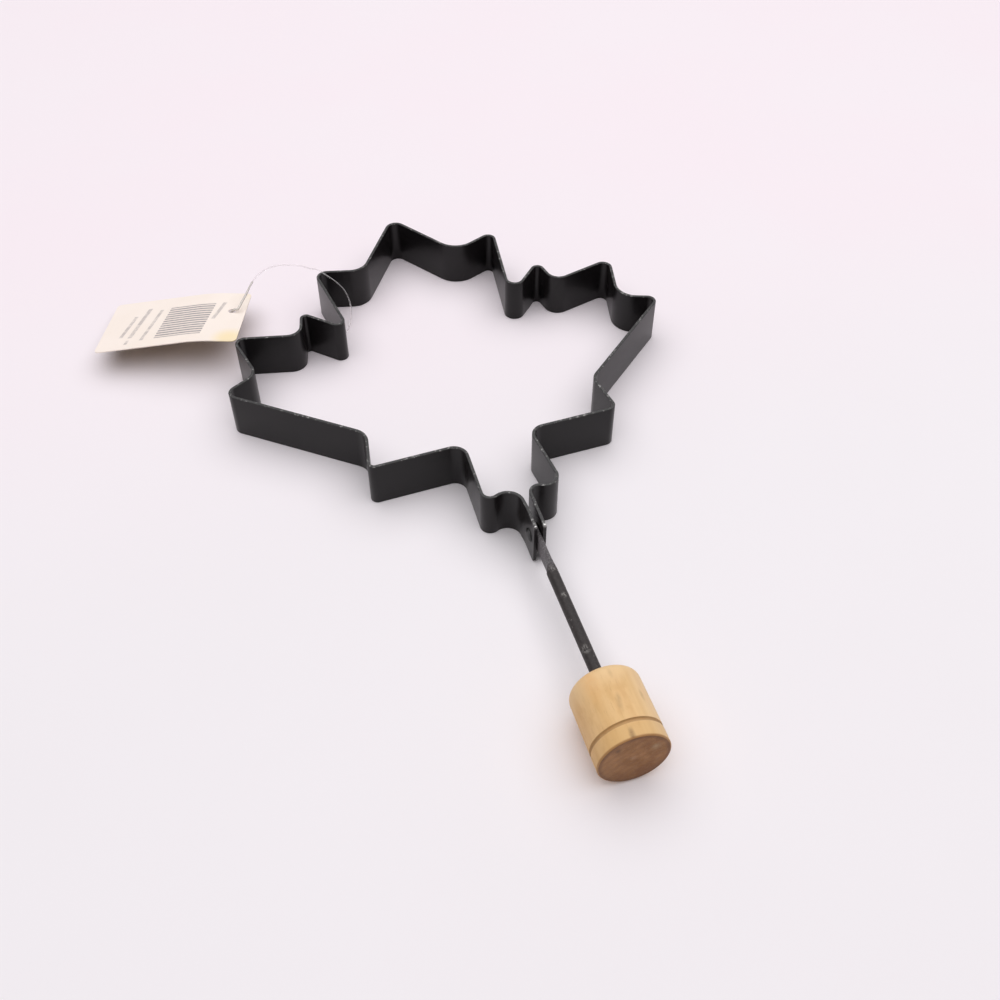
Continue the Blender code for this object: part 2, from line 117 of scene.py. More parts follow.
# The ears and the easing for the loop
EAR_GAP = 0.0021
EAR_ROOT_DISTANCE = 0.0162
EAR_KINK_DISTANCE = 0.0045
EAR_KINK_RADIUS = 0.0100
LEFT_EAR_ROOT = (-0.00275, 0.0176, 0.0058)
RIGHT_EAR_ROOT = (0.00183, 0.0156, 0.0033)
EAR_OVERHANG = 0.0053
EAR_LOW_CORNER_RADIUS = 0.0018
EAR_TOP_CORNER_RADIUS = 0.0008
EAR_CORNER_STEPS = 8
RELIEF_CORNER = 9
RELIEF_START = 0.0147
RELIEF_LENGTH = 0.0140
RELIEF_HEIGHT = 0.0009
RELIEF_STEPS = 24

# Wear and painted light on the strip: how far below the top edge its coat is rubbed and painted lighter as a
# rim highlight, and the chipped places and the painted glints on bare steel at the ears' top corners, by
# their distance from the ear's end, side and radius
RIM_HIGHLIGHT_AND_WEAR_DEPTH = (0.00045, 0.00015)
EAR_CHIP_SETBACK = 0.0008
EAR_CHIP_SIZE = (0.0009, 0.0010)
EAR_GLINT_SETBACK = 0.0004
EAR_GLINTS = ((-1, 0.0007), (1, 0.0014))
# Between these two places along the ring, towards the handle, the coat goes from painted shade far from the
# handle to a lighter painted reflection near it, and its rim is rubbed more
COAT_SHEEN_AND_WEAR = (0.070, -0.025)

# The rivet
RIVET_SHANK_RADIUS = 0.0015
RIVET_HEAD_RADIUS = 0.0026
RIVET_HEAD_HEIGHT = 0.0009
RIVET_HEAD_GAP = 0.0001
RIVET_DOME_STEPS = 10
RIVET_SIDES = 48

# The handle
ROD_RADIUS = 0.0021
BLADE_THICKNESS = 0.0015
BLADE_HEIGHT = 0.0080
BLADE_CORNER_RADIUS = 0.0004
BLADE_LENGTH = 0.0155
SHOULDER_LENGTH = 0.0040
HANDLE_REACH = 0.0680
TANG_LENGTH = 0.0170
ROD_CORNER_STEPS = 8
EYE_STEPS = 12
SHOULDER_STEPS = 16
# Between these two places along the handle, the rod's black gives way to the blade's lighter grey
BLADE_GREY = (-0.0203, -0.0168)
# Places on the rod rubbed down to the steel, in the handle's own frame, with their radii
ROD_WEAR = (
    ((-0.0001, -0.0190, 0.0021), 0.0007),
    ((0.0000, -0.0312, 0.0021), 0.0006),
    ((-0.0008, -0.0546, 0.0019), 0.0009),
)
ROD_WEAR_SPREAD = 2.8

# The knob
KNOB_LENGTH = 0.0282
KNOB_RADIUS = 0.0120
KNOB_NECK_RADIUS = 0.0119
KNOB_NECK_ROUND = 0.0032
KNOB_END_ROUND = 0.0007
GROOVE_FROM_END = 0.0061
GROOVE_WIDTH = 0.0014
GROOVE_DEPTH = 0.0008
KNOB_BORE_GAP = 0.00015
KNOB_BORE_SPARE = 0.0008
KNOB_ROUND_STEPS = 10
KNOB_END_STEPS = 6
GROOVE_HALF_STEPS = 6
KNOB_RING_STEP = 0.0015
KNOB_FACE_RINGS = (0.9, 0.75, 0.5, 0.25)
KNOB_SIDES = 96
# The heart of the tree that the knob was cut from, across and up, and how close its rings lie
WOOD_HEART = (0.021, -0.034)
WOOD_RINGS = 2300.0
# Where the knob is palest: across from its middle, on its right, as a painted highlight where the light
# falls, and along from its neck
HIGHLIGHT_SIDE = (0.0020, 0.0080)
PALE_NECK = (0.0110, 0.0020)
MARK_SPREAD = 1.5
# Flecks, a nick and a scorch on the knob, in the handle's own frame: place, radius, tone and
# strength. They are drawn out along the grain.
GRAIN_STRETCH = 0.35
WOOD_MARKS = (
    ((-0.0009, -0.0838, 0.0120), 0.0009, (0.40, 0.23, 0.10), 0.45),
    ((-0.0003, -0.0815, 0.0120), 0.0007, (0.40, 0.23, 0.10), 0.40),
    ((0.0076, -0.0810, 0.0093), 0.0008, (0.40, 0.23, 0.10), 0.50),
    ((0.0004, -0.0723, 0.0120), 0.0007, (0.45, 0.27, 0.12), 0.35),
    ((-0.0011, -0.0952, 0.0119), 0.0009, (0.16, 0.08, 0.035), 0.90),
    ((-0.0063, -0.0700, 0.0100), 0.0035, (0.85, 0.43, 0.15), 0.40),
)
# Marks on its end, across and up
END_MARKS = (
    ((-0.0056, 0.0070), 0.0011, (0.085, 0.040, 0.022), 0.70),
    ((0.0066, 0.0042), 0.0016, (0.50, 0.37, 0.20), 0.50),
    ((-0.0003, 0.0010), 0.0012, (0.45, 0.27, 0.16), 0.50),
)

# The tag card, its near left corner measured from the rivet: it climbs to the right, bends
# and runs on level, and its far edge hangs lower than its near one
TAG_LENGTH = 0.0594
TAG_WIDTH = 0.0399
TAG_THICKNESS = 0.0004
TAG_CORNER_RADIUS = 0.0020
TAG_CORNER = (-0.1439, 0.1451)
TAG_TURN = math.radians(-16.6)
TAG_CORNER_HEIGHT = 0.0099
TAG_CLIMB = 0.155
TAG_END_CLIMB = -0.030
TAG_BEND = 0.0429
TAG_BEND_HALF = 0.0062
TAG_LEAN = -0.165
TAG_HOLE_ALONG = 0.0537
TAG_HOLE_ACROSS = 0.0246
TAG_HOLE_RADIUS = 0.0017
TAG_STEPS = (40, 16)
TAG_CORNER_STEPS = 5
TAG_HOLE_SIDES = 32

# Its plain grey marks, along and across the card: a ruled panel that leans a little, and
# bars given by their two ends and half their width
PANEL_ALONG = (0.0252, 0.0446)
PANEL_ACROSS = (0.0062, 0.0308)
PANEL_LEAN = 0.087
PANEL_PITCH = 0.00189
PRINT_SOFTNESS = 0.0002
BARS = (
    (0.0090, 0.0098, 0.0117, 0.0266, 0.00080),
    (0.0124, 0.0038, 0.0127, 0.0066, 0.00070),
    (0.0131, 0.0088, 0.0166, 0.0323, 0.00090),
    (0.0186, 0.0059, 0.0223, 0.0300, 0.00075),
    (0.0468, 0.0181, 0.0495, 0.0319, 0.00075),
)
BAR_END_SOFTNESS = 0.0003
# A yellow stain by its near edge and a faint one at its far right corner: place, radius, soft edge
STAIN = ((0.0562, 0.0024, 0.0), 0.0018, 0.0076)
CORNER_STAIN = ((TAG_LENGTH, TAG_WIDTH, 0.0), 0.0010, 0.0060)

# The nylon lock, the stout end of the loop, from its foot under the hole to its tip
LOCK_FOOT_RADIUS = 0.00060
LOCK_TIP_RADIUS = 0.00040
LOCK_ROUTE = (
    (-0.0867, 0.1544, 0.0105),
    (-0.0861, 0.1539, 0.0114),
    (-0.0854, 0.1533, 0.0125),
    (-0.0844, 0.1525, 0.0136),
    (-0.0829, 0.1518, 0.0143),
    (-0.0807, 0.1546, 0.0155),
    (-0.0782, 0.1579, 0.0166),
    (-0.0762, 0.1607, 0.0178),
    (-0.0744, 0.1625, 0.0190),
)
LOCK_POINTS = 60
# Round the card's hole the nylon takes another tone, painted shade on the loop and painted light on the
# lock: radius and soft edge
NYLON_HOLE_SHADING = (0.0035, 0.0060)

# The nylon loop: its route from the rivet, between the lock's two ends
LOOP_RADIUS = 0.000275
LOOP_END_GAP = 0.0003
LOOP_ROUTE = (
    (-0.0711, 0.1643, 0.0210),
    (-0.0671, 0.1645, 0.0228),
    (-0.0629, 0.1636, 0.0240),
    (-0.0582, 0.1623, 0.0243),
    (-0.0536, 0.1612, 0.0236),
    (-0.0496, 0.1608, 0.0217),
    (-0.0462, 0.1610, 0.0200),
    (-0.0439, 0.1586, 0.0190),
    (-0.0409, 0.1554, 0.0176),
    (-0.0379, 0.1533, 0.0146),
    (-0.0363, 0.1514, 0.0112),
    (-0.0357, 0.1496, 0.0079),
    (-0.0359, 0.1481, 0.0050),
    (-0.0365, 0.1465, 0.0025),
    (-0.0376, 0.1447, 0.0008),
    (-0.0398, 0.1412, 0.0003),
    (-0.0420, 0.1402, 0.0003),
    (-0.0449, 0.1404, 0.0003),
    (-0.0490, 0.1408, 0.0003),
    (-0.0560, 0.1412, 0.0003),
    (-0.0650, 0.1413, 0.0003),
    (-0.0740, 0.1418, 0.0004),
    (-0.0810, 0.1436, 0.0008),
    (-0.0855, 0.1465, 0.0022),
    (-0.0878, 0.1505, 0.0048),
    (-0.0880, 0.1540, 0.0080),
)
LOOP_POINTS = 170
SPAN_STEPS = 12
STRAND_RESOLUTION = 4


class Finish:
    """One procedural material, whose nodes are added by short calls."""

    def __init__(self, name):
        self.material = bpy.data.materials.new(name)
        self.material.use_nodes = True
        self.tree = self.material.node_tree
        self.shader = self.tree.nodes["Principled BSDF"]

    def node(self, kind, settings=None):
        made = self.tree.nodes.new(kind)
        for name, value in (settings or {}).items():
            setattr(made, name, value)
        return made

    def feed(self, socket, value):
        """Link another node's output to a socket, or set the socket to a plain value."""
        if isinstance(value, bpy.types.NodeSocket):
            self.tree.links.new(value, socket)
        elif hasattr(value, "__len__") and socket.type == "RGBA" and len(value) == 3:
            socket.default_value = (*value, 1.0)
        else:
            socket.default_value = value

    def set(self, **inputs):
        """Feed the shader's sockets by name, with _ for each space."""
        for name, value in inputs.items():
            self.feed(self.shader.inputs[name.replace("_", " ")], value)

    def place(self):
        return self.node("ShaderNodeTexCoord").outputs["Object"]

    def uv(self):
        return self.node("ShaderNodeUVMap").outputs["UV"]

    def split(self, vector):
        made = self.node("ShaderNodeSeparateXYZ")
        self.feed(made.inputs[0], vector)
        return made.outputs["X"], made.outputs["Y"], made.outputs["Z"]

    def join(self, x, y, z):
        made = self.node("ShaderNodeCombineXYZ")
        for socket, value in zip(made.inputs, (x, y, z)):
            self.feed(socket, value)
        return made.outputs[0]

    def maths(self, operation, first, second=None):
        made = self.node("ShaderNodeMath", {"operation": operation})
        for socket, value in zip(made.inputs, (first, second)):
            if value is not None:
                self.feed(socket, value)
        return made.outputs[0]

    def add(self, first, second):
        return self.maths("ADD", first, second)

    def subtract(self, first, second):
        return self.maths("SUBTRACT", first, second)

    def times(self, first, second):
        return self.maths("MULTIPLY", first, second)

    def larger(self, first, second):
        return self.maths("MAXIMUM", first, second)

    def reach(self, first, second):
        """How far a point given by two lengths at right angles lies from nought."""
        return self.maths("SQRT", self.add(self.times(first, first), self.times(second, second)))

    def rise(self, value, low, high):
        """0 below low, 1 above high, smooth between, and the other way round if low is above high."""
        if low > high:
            return self.subtract(1.0, self.rise(value, high, low))
        made = self.node("ShaderNodeMapRange", {"interpolation_type": "SMOOTHSTEP"})
        self.feed(made.inputs["Value"], value)
        self.feed(made.inputs["From Min"], low)
        self.feed(made.inputs["From Max"], high)
        return made.outputs["Result"]

    def band(self, value, middle, half_width, soft):
        """1 within half_width of middle, falling to 0 over soft."""
        off = self.maths("ABSOLUTE", self.subtract(value, middle))
        return self.rise(off, half_width + soft, half_width)

    def scaled(self, vector, scale):
        made = self.node("ShaderNodeVectorMath", {"operation": "MULTIPLY"})
        self.feed(made.inputs[0], vector)
        made.inputs[1].default_value = scale
        return made.outputs[0]

    def noise(self, vector, scale, detail=3.0, roughness=0.55):
        made = self.node("ShaderNodeTexNoise")
        self.feed(made.inputs["Vector"], vector)
        made.inputs["Scale"].default_value = scale
        made.inputs["Detail"].default_value = detail
        made.inputs["Roughness"].default_value = roughness
        return made.outputs["Fac"]

    def mix(self, share, first, second):
        """The first colour where share is 0, the second where it is 1."""
        made = self.node("ShaderNodeMix", {"data_type": "RGBA"})
        self.feed(made.inputs[0], share)
        self.feed(made.inputs[6], first)
        self.feed(made.inputs[7], second)
        return made.outputs[2]

    def tint(self, colour, mask, strength, tone):
        """A colour moved towards a tone by the mask times the strength."""
        return self.mix(self.times(mask, strength), colour, tone)

    def spot(self, vector, centre, radius, soft):
        """1 within radius of a point, falling to 0 over soft."""
        made = self.node("ShaderNodeVectorMath", {"operation": "DISTANCE"})
        self.feed(made.inputs[0], vector)
        made.inputs[1].default_value = centre
        return self.rise(made.outputs["Value"], radius + soft, radius)

    def bump(self, height, distance, strength):
        made = self.node("ShaderNodeBump")
        made.inputs["Strength"].default_value = strength
        made.inputs["Distance"].default_value = distance
        self.feed(made.inputs["Height"], height)
        self.feed(self.shader.inputs["Normal"], made.outputs["Normal"])


def coated_steel():
    """Black baked coating, chipped along the rim, with painted shade and reflection: darker away from the
    handle, lighter towards it, a painted highlight along the rim and painted glints at the ears' corners.
    """
    far_shaded_black = (0.0060, 0.0049, 0.0054)
    near_sheen_black = (0.0092, 0.0072, 0.0078)
    hazy_black = (0.0130, 0.0104, 0.0112)
    rim_highlight_and_wear_grey = (0.075, 0.073, 0.074)
    chipped_steel = (0.34, 0.33, 0.325)
    glint_and_bare_steel = (0.66, 0.64, 0.64)
    finish = Finish("coated_steel_look")
    place = finish.place()
    _, y, z = finish.split(place)
    cloud = finish.noise(place, 45.0, 4.0)
    grain = finish.noise(place, 2600.0, 2.0)
    # Painted shade and reflection: the coat's colour goes from darker far from the handle to lighter near
    # it.
    handle_sheen_and_wear = finish.rise(y, *COAT_SHEEN_AND_WEAR)
    colour = finish.mix(handle_sheen_and_wear, far_shaded_black, near_sheen_black)
    colour = finish.tint(colour, finish.rise(cloud, 0.35, 0.75), 0.35, hazy_black)
    rim = finish.rise(z, STRIP_HEIGHT - RIM_HIGHLIGHT_AND_WEAR_DEPTH[0], STRIP_HEIGHT - RIM_HIGHLIGHT_AND_WEAR_DEPTH[1])
    flake = finish.rise(finish.noise(place, 700.0, 3.0, 0.7), 0.56, 0.66)
    chips = finish.times(rim, flake)
    ear_side = (EAR_GAP + STRIP_THICKNESS) / 2
    for side in (-1, 1):
        corner = (side * ear_side, EAR_CHIP_SETBACK - EAR_OVERHANG, STRIP_HEIGHT)
        knocked = finish.spot(place, corner, *EAR_CHIP_SIZE)
        chips = finish.larger(chips, finish.times(knocked, finish.rise(grain, 0.40, 0.60)))
    # Painted highlight with real rubbing: the rim's top edge is painted lighter grey, more so towards the
    # handle.
    rubbed = finish.times(rim, finish.add(0.22, finish.times(handle_sheen_and_wear, 0.20)))
    colour = finish.mix(rubbed, colour, rim_highlight_and_wear_grey)
    colour = finish.tint(colour, chips, 0.60, chipped_steel)
    # Painted glints: bright spots painted at the ears' top corners, over bare steel.
    for side, radius in EAR_GLINTS:
        corner = (side * ear_side, EAR_GLINT_SETBACK - EAR_OVERHANG, STRIP_HEIGHT)
        glint = finish.times(finish.spot(place, corner, 0.0, radius), finish.rise(grain, 0.30, 0.62))
        colour = finish.mix(glint, colour, glint_and_bare_steel)
    roughness = finish.add(0.25, finish.times(cloud, 0.10))
    finish.set(Base_Color=colour, IOR=1.36)
    finish.set(Roughness=finish.add(roughness, finish.times(chips, 0.15)))
    finish.set(Metallic=finish.times(chips, 0.6))
    finish.bump(finish.add(grain, finish.times(cloud, 3.0)), 0.00002, 0.6)
    return finish.material


def rod_steel():
    """The drawn rod's thin black coating, rubbed through in spots, and its lighter, speckled grey blade."""
    thick_black = (0.0185, 0.0140, 0.0140)
    thin_black = (0.038, 0.030, 0.030)
    blade_grey = (0.084, 0.075, 0.080)
    speckle_grey = (0.30, 0.28, 0.29)
    bare_steel = (0.29, 0.27, 0.26)
    finish = Finish("rod_steel_look")
    place = finish.place()
    y = finish.split(place)[1]
    drawn = finish.noise(finish.scaled(place, (1.0, 0.08, 1.0)), 2200.0, 3.0)
    mottle = finish.noise(place, 900.0, 4.0, 0.65)
    colour = finish.mix(finish.rise(mottle, 0.40, 0.72), thick_black, thin_black)
    spots = finish.rise(finish.noise(place, 260.0, 4.0, 0.7), 0.64, 0.74)
    speckle = finish.noise(finish.scaled(place, (1.0, 0.5, 1.0)), 1700.0, 3.0, 0.7)
    speckle = finish.rise(speckle, 0.44, 0.60)
    for centre, radius in ROD_WEAR:
        rubbed = finish.spot(place, centre, 0.0, ROD_WEAR_SPREAD * radius)
        spots = finish.larger(spots, finish.times(rubbed, speckle))
    flat = finish.rise(y, *BLADE_GREY)
    colour = finish.tint(colour, flat, 0.90, blade_grey)
    blade_specks = finish.rise(finish.noise(place, 2300.0, 2.0, 0.6), 0.50, 0.64)
    colour = finish.tint(colour, finish.times(flat, blade_specks), 0.60, speckle_grey)
    colour = finish.tint(colour, spots, 0.80, bare_steel)
    finish.set(Base_Color=colour, IOR=1.34)
    finish.set(Roughness=finish.add(0.36, finish.times(mottle, 0.2)))
    finish.bump(finish.add(finish.times(drawn, 0.7), mottle), 0.00006, 0.7)
    return finish.material


def rivet_steel():
    """The rivet's black coating, mottled where its domes are worn."""
    finish = Finish("rivet_steel_look")
    place = finish.place()
    mottle = finish.noise(place, 1100.0, 3.0)
    colour = finish.mix(finish.rise(mottle, 0.45, 0.7), (0.007, 0.007, 0.0075), (0.030, 0.029, 0.028))
    finish.set(Base_Color=colour, Roughness=0.34, IOR=1.5)
    finish.bump(mottle, 0.00005, 0.6)
    return finish.material


def growth_rings(finish, place, x, z):
    """1 in the dark bands of the wood's yearly rings, which wander along the grain."""
    warp = finish.noise(finish.scaled(place, (1.0, 0.22, 1.0)), 90.0, 2.0)
    across = finish.add(x, finish.times(finish.subtract(warp, 0.5), 0.0045))
    deep = finish.add(z, finish.times(finish.subtract(warp, 0.5), 0.0030))
    from_heart = finish.reach(
        finish.subtract(across, WOOD_HEART[0]),
        finish.subtract(deep, WOOD_HEART[1]),
    )
    return finish.rise(finish.maths("SINE", finish.times(from_heart, WOOD_RINGS)), -0.6, 1.0)


def end_grain(finish, place, x, z, bands, broken, fibre):
    """The knob's dark end: lighter to the left, painted darker low down as shade, darker round its edge, and
    marked.
    """
    end = HANDLE_REACH + KNOB_LENGTH
    cloud = finish.noise(place, 210.0, 4.0, 0.6)
    tone = finish.mix(finish.rise(cloud, 0.34, 0.72), (0.245, 0.096, 0.022), (0.380, 0.170, 0.055))
    tone = finish.tint(tone, finish.rise(x, 0.004, -0.012), 0.50, (0.395, 0.203, 0.088))
    # Painted shade: the end is darker low down, towards the floor it rests on.
    tone = finish.tint(tone, finish.rise(z, 0.000, -0.010), 0.50, (0.165, 0.062, 0.020))
    tone = finish.tint(tone, finish.rise(fibre, 0.50, 0.72), 0.24, (0.46, 0.26, 0.12))
    tone = finish.tint(tone, bands, 0.22, (0.185, 0.085, 0.036))
    tone = finish.tint(tone, finish.rise(finish.reach(x, z), 0.0098, 0.0114), 0.55, (0.125, 0.052, 0.024))
    for (across, up), radius, mark_tone, strength in END_MARKS:
        mark = finish.spot(place, (across, -end, up), 0.0, MARK_SPREAD * radius)
        tone = finish.tint(tone, finish.times(mark, broken), strength, mark_tone)
    return tone


def turned_wood():
    """A pale dowel wood, with its grain along the handle, a burnt groove and a dark end, painted paler on
    its right as a highlight.
    """
    light_band = (0.770, 0.482, 0.212)
    dark_band = (0.712, 0.422, 0.170)
    streak_brown = (0.60, 0.330, 0.120)
    broad_cream = (0.850, 0.570, 0.300)
    blotch_brown = (0.640, 0.360, 0.140)
    pore_brown = (0.42, 0.22, 0.08)
    pale_cream = (0.880, 0.620, 0.345)
    collar_brown = (0.600, 0.350, 0.120)
    burnt_brown = (0.34, 0.185, 0.070)
    rim_brown = (0.36, 0.165, 0.055)
    finish = Finish("turned_wood_look")
    place = finish.place()
    x, y, z = finish.split(place)
    along = finish.times(y, -1.0)
    bands = growth_rings(finish, place, x, z)
    streaks = finish.noise(finish.scaled(place, (1.0, 0.045, 1.0)), 750.0, 4.0, 0.6)
    broad = finish.noise(finish.scaled(place, (1.0, 0.15, 1.0)), 130.0, 2.0)
    blotch = finish.noise(finish.scaled(place, (1.0, 0.45, 1.0)), 330.0, 3.0, 0.6)
    pores = finish.rise(finish.noise(finish.scaled(place, (1.0, 0.09, 1.0)), 3600.0, 2.0, 0.5), 0.62, 0.74)
    colour = finish.mix(bands, light_band, dark_band)
    colour = finish.tint(colour, finish.rise(streaks, 0.42, 0.70), 0.30, streak_brown)
    colour = finish.tint(colour, finish.rise(broad, 0.40, 0.70), 0.40, broad_cream)
    colour = finish.tint(colour, finish.rise(blotch, 0.46, 0.72), 0.38, blotch_brown)
    colour = finish.tint(colour, pores, 0.22, pore_brown)
    # Painted highlight: the knob is painted paler on its right, where the light falls, and paler by its
    # neck.
    pale_neck = finish.rise(along, HANDLE_REACH + PALE_NECK[0], HANDLE_REACH + PALE_NECK[1])
    colour = finish.tint(colour, finish.larger(finish.rise(x, *HIGHLIGHT_SIDE), pale_neck), 0.70, pale_cream)
    end = HANDLE_REACH + KNOB_LENGTH
    groove_place = end - GROOVE_FROM_END
    collar = finish.rise(along, groove_place, groove_place + GROOVE_WIDTH)
    colour = finish.tint(colour, collar, 0.30, collar_brown)
    groove = finish.band(along, groove_place, GROOVE_WIDTH * 0.40, GROOVE_WIDTH * 0.25)
    colour = finish.tint(colour, groove, 0.60, burnt_brown)
    drawn = finish.scaled(place, (1.0, GRAIN_STRETCH, 1.0))
    broken = finish.rise(finish.noise(place, 600.0, 2.0), 0.35, 0.65)
    broken = finish.add(0.6, finish.times(broken, 0.4))
    for (mark_x, mark_y, mark_z), radius, tone, strength in WOOD_MARKS:
        mark = finish.spot(drawn, (mark_x, mark_y * GRAIN_STRETCH, mark_z), 0.0, MARK_SPREAD * radius)
        colour = finish.tint(colour, finish.times(mark, broken), strength, tone)
    rim = finish.rise(along, end - 0.00085, end - 0.00020)
    colour = finish.tint(colour, rim, 0.85, rim_brown)
    face = finish.rise(along, end - 0.00008, end - 0.00002)
    fibre = finish.noise(place, 1500.0, 5.0, 0.7)
    colour = finish.mix(face, colour, end_grain(finish, place, x, z, bands, broken, fibre))
    finish.set(Base_Color=colour, Roughness=finish.add(0.42, finish.times(streaks, 0.22)), IOR=1.4)
    relief = finish.add(streaks, finish.times(pores, -0.8))
    finish.bump(finish.add(relief, finish.times(finish.times(face, fibre), 2.5)), 0.00009, 0.6)
    return finish.material


def ruled_panel(finish, u, v):
    """The panel's even grey lines, across a box that leans a little."""
    along_middle = (PANEL_ALONG[0] + PANEL_ALONG[1]) / 2
    across_middle = (PANEL_ACROSS[0] + PANEL_ACROSS[1]) / 2
    leaning = finish.subtract(u, finish.times(finish.subtract(v, across_middle), PANEL_LEAN))
    box = finish.times(
        finish.band(leaning, along_middle, (PANEL_ALONG[1] - PANEL_ALONG[0]) / 2, PRINT_SOFTNESS),
        finish.band(v, across_middle, (PANEL_ACROSS[1] - PANEL_ACROSS[0]) / 2, PRINT_SOFTNESS),
    )
    wave = finish.maths("SINE", finish.times(v, math.tau / PANEL_PITCH))
    return finish.times(box, finish.rise(wave, -0.95, 0.35))


def plain_bar(finish, u, v, bar):
    """One soft-edged bar between its two ends."""
    along, across, along_end, across_end, half_width = bar
    slant = (along_end - along) / (across_end - across)
    beside = finish.subtract(u, finish.times(finish.subtract(v, across), slant))
    return finish.times(
        finish.band(beside, along, half_width * 0.7, half_width * 0.6),
        finish.band(v, (across + across_end) / 2, (across_end - across) / 2, BAR_END_SOFTNESS),
    )


def tag_card():
    """Cream card: a ruled grey panel, plain grey bars, and a yellow stain by its near edge; its underside is
    painted brown as painted shade, darkening the shadow beneath it.
    """
    cream = (0.978, 0.862, 0.785)
    pale_cream = (0.998, 0.886, 0.818)
    ink_grey = (0.255, 0.225, 0.245)
    stain_yellow = (0.97, 0.77, 0.40)
    corner_yellow = (0.96, 0.80, 0.50)
    underside_shade_brown = (0.37, 0.305, 0.20)
    finish = Finish("tag_card_look")
    u, v, _ = finish.split(finish.uv())
    place = finish.place()
    fibre = finish.noise(place, 2200.0, 3.0)
    cloud = finish.noise(place, 60.0, 3.0)
    paper = finish.mix(finish.rise(cloud, 0.3, 0.7), cream, pale_cream)
    ink = ruled_panel(finish, u, v)
    breaks = finish.rise(finish.noise(place, 520.0, 2.0), 0.38, 0.56)
    breaks = finish.add(0.5, finish.times(breaks, 0.5))
    for bar in BARS:
        printed = finish.times(plain_bar(finish, u, v, bar), breaks)
        ink = finish.larger(ink, finish.times(printed, 0.62))
    thin = finish.rise(finish.noise(place, 700.0, 3.0), 0.20, 0.65)
    ink = finish.times(ink, finish.add(0.72, finish.times(thin, 0.28)))
    colour = finish.tint(paper, ink, 0.86, ink_grey)
    chart = finish.join(u, v, 0.0)
    colour = finish.tint(colour, finish.spot(chart, *STAIN), 0.68, stain_yellow)
    colour = finish.tint(colour, finish.spot(chart, *CORNER_STAIN), 0.25, corner_yellow)
    # Painted shade: the card's underside is painted dark brown, so the shadow beneath the card turns dark
    # and brown.
    facing_up = finish.split(finish.node("ShaderNodeNewGeometry").outputs["Normal"])[2]
    colour = finish.mix(finish.rise(facing_up, -0.2, -0.6), colour, underside_shade_brown)
    finish.set(Base_Color=colour, Roughness=0.62, IOR=1.4)
    finish.bump(fibre, 0.00003, 0.5)
    return finish.material


def nylon(name, clearness, colour, hole_shading_colour):
    """Cloudy nylon, of another tone round the card's hole: painted shade on the loop, painted light on the
    lock's foot.
    """
    finish = Finish(name)
    place = finish.place()
    clouding = finish.noise(place, 500.0, 2.0)
    body = finish.tint(colour, clouding, 0.3, (0.86, 0.83, 0.83))
    hole_shading = finish.spot(place, tuple(STEM + tag_hole()), *NYLON_HOLE_SHADING)
    finish.set(Base_Color=finish.mix(hole_shading, body, hole_shading_colour))
    finish.set(Roughness=0.25, IOR=1.45, Transmission_Weight=clearness)
    return finish.material


def floor_paper():
    """Pale studio paper: pinker far from the camera, greyer near it, and faintly clouded."""
    finish = Finish("floor_paper_look")
    place = finish.place()
    near = finish.rise(finish.split(place)[1], 0.15, -0.06)
    colour = finish.mix(near, (0.950, 0.848, 0.905), (0.906, 0.860, 0.895))
    cloud = finish.rise(finish.noise(place, 7.0, 3.0), 0.3, 0.7)
    colour = finish.tint(colour, cloud, 0.35, (0.930, 0.885, 0.925))
    finish.set(Base_Color=colour, Roughness=0.75, Specular_IOR_Level=0.3)
    return finish.material


def piece(name, shape, finish, body, node, smooth_angle=math.radians(40), matrix=None):
    """A finished mesh piece that rides on a body, takes a slot's finish and stands for a node."""
    bmesh.ops.recalc_face_normals(shape, faces=shape.faces)
    mesh = bpy.data.meshes.new(name)
    shape.to_mesh(mesh)
    shape.free()
    mesh.shade_smooth()
    mesh.set_sharp_from_angle(angle=smooth_angle)
    mesh.materials.append(finish)
    made = bpy.data.objects.new(name, mesh)
    bpy.context.scene.collection.objects.link(made)
    if matrix is not None:
        made.matrix_world = matrix
    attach(made, body)
    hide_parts(node)
    return made


def loft(sections):
    """A closed body through equal rings of points, capped at both ends."""
    shape = bmesh.new()
    rings = [[shape.verts.new(point) for point in section] for section in sections]
    count = len(rings[0])
    for ring, following in zip(rings, rings[1:]):
        for i in range(count):
            j = (i + 1) % count
            shape.faces.new((ring[i], ring[j], following[j], following[i]))
    shape.faces.new(rings[0])
    shape.faces.new(rings[-1])
    return shape


def turned(profile, sides):
    """A body turned about +Y from (distance, radius) pairs that start and end on the axis."""
    shape = bmesh.new()
    first = shape.verts.new((0.0, profile[0][0], 0.0))
    last = shape.verts.new((0.0, profile[-1][0], 0.0))
    rings = []
    for distance, radius in profile[1:-1]:
        ring = []
        for i in range(sides):
            angle = math.tau * i / sides
            ring.append(shape.verts.new((radius * math.cos(angle), distance, radius * math.sin(angle))))
        rings.append(ring)
    for i in range(sides):
        j = (i + 1) % sides
        shape.faces.new((first, rings[0][j], rings[0][i]))
        shape.faces.new((last, rings[-1][i], rings[-1][j]))
        for ring, following in zip(rings, rings[1:]):
            shape.faces.new((ring[i], ring[j], following[j], following[i]))
    return shape


def quarter(steps):
    """Sine and cosine pairs from 0 to 90 degrees, both ends included."""
    angles = [RIGHT_ANGLE * i / steps for i in range(steps + 1)]
    return [(math.sin(angle), math.cos(angle)) for angle in angles]


def leaf_to_stem(across, along):
    """A point of the leaf's drawing in the frame of the rivet and handle."""
    widest = max(corner[0] for corner in LEFT_CORNERS + RIGHT_CORNERS)
    across *= LEAF_HALF_WIDTH / widest
    along *= LEAF_LENGTH / TIP_CORNER[1]
    return Matrix.Rotation(LEAF_LEAN, 2) @ Vector((across, EAR_ROOT_DISTANCE + along))


